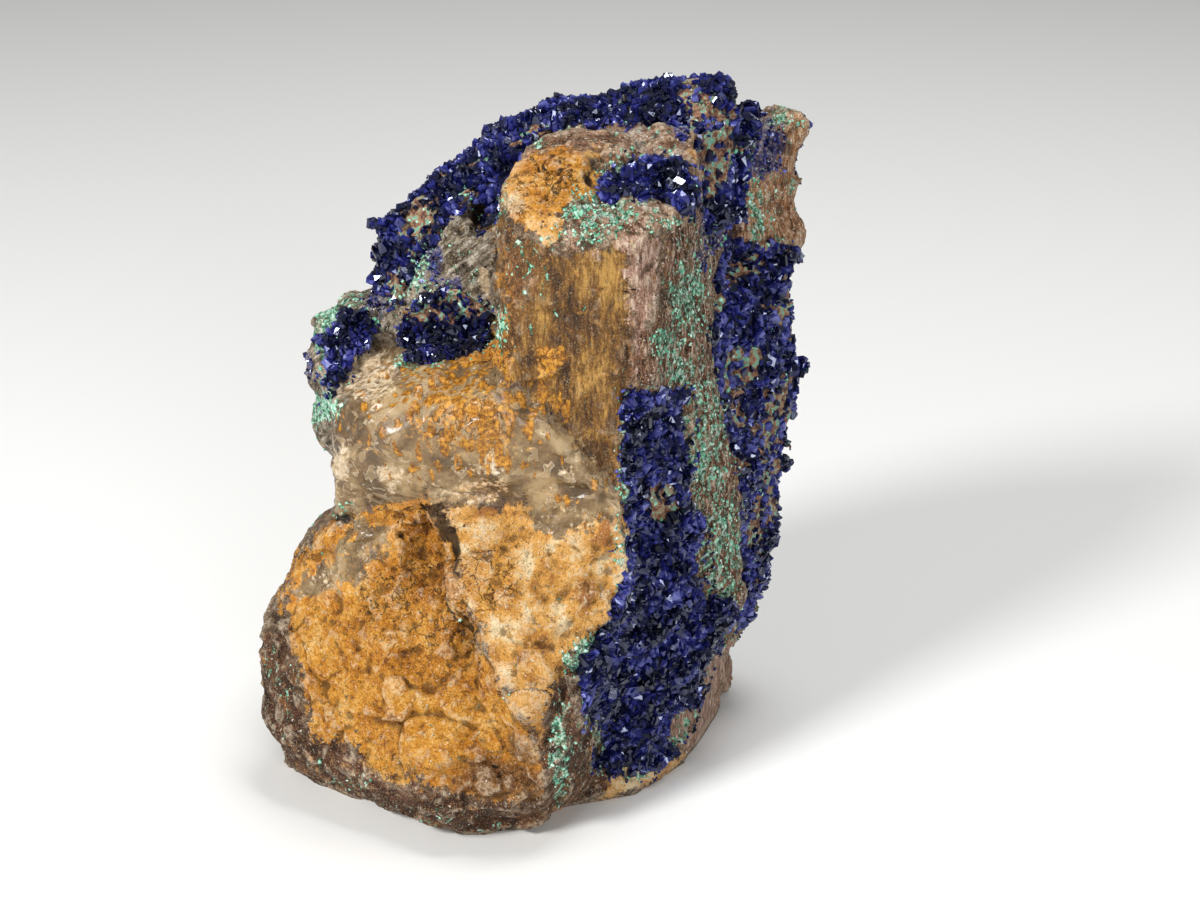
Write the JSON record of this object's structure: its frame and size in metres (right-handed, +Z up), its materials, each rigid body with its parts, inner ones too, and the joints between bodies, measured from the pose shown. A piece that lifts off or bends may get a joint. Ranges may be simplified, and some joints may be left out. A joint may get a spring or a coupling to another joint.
{
  "type": "azurite specimen",
  "caption": "Hand-sized mineral specimen: dark blue azurite crystal crusts on a broken quartz and limonite rock that stands on a flat underside.",
  "frame": {"origin": "a point on the flat underside, below the middle of the display face's pillar", "axes": "+Z up from the underside, -Y towards the viewer of the display face, +X to that viewer's right"},
  "size_m": [0.0886, 0.069, 0.1103],
  "materials": {
    "limonite_and_quartz": "broken stone, ochre, grey and brown, with a green malachite film",
    "azurite": "glossy dark blue crystals"
  },
  "bodies": {
    "root": {"matrix_rock": "limonite_and_quartz", "azurite_crown": "azurite", "azurite_front_band": "azurite", "azurite_right_flank": "azurite", "azurite_pocket": "azurite", "azurite_ledge_patch": "azurite", "azurite_left_lobe": "azurite"}
  },
  "joints": []
}
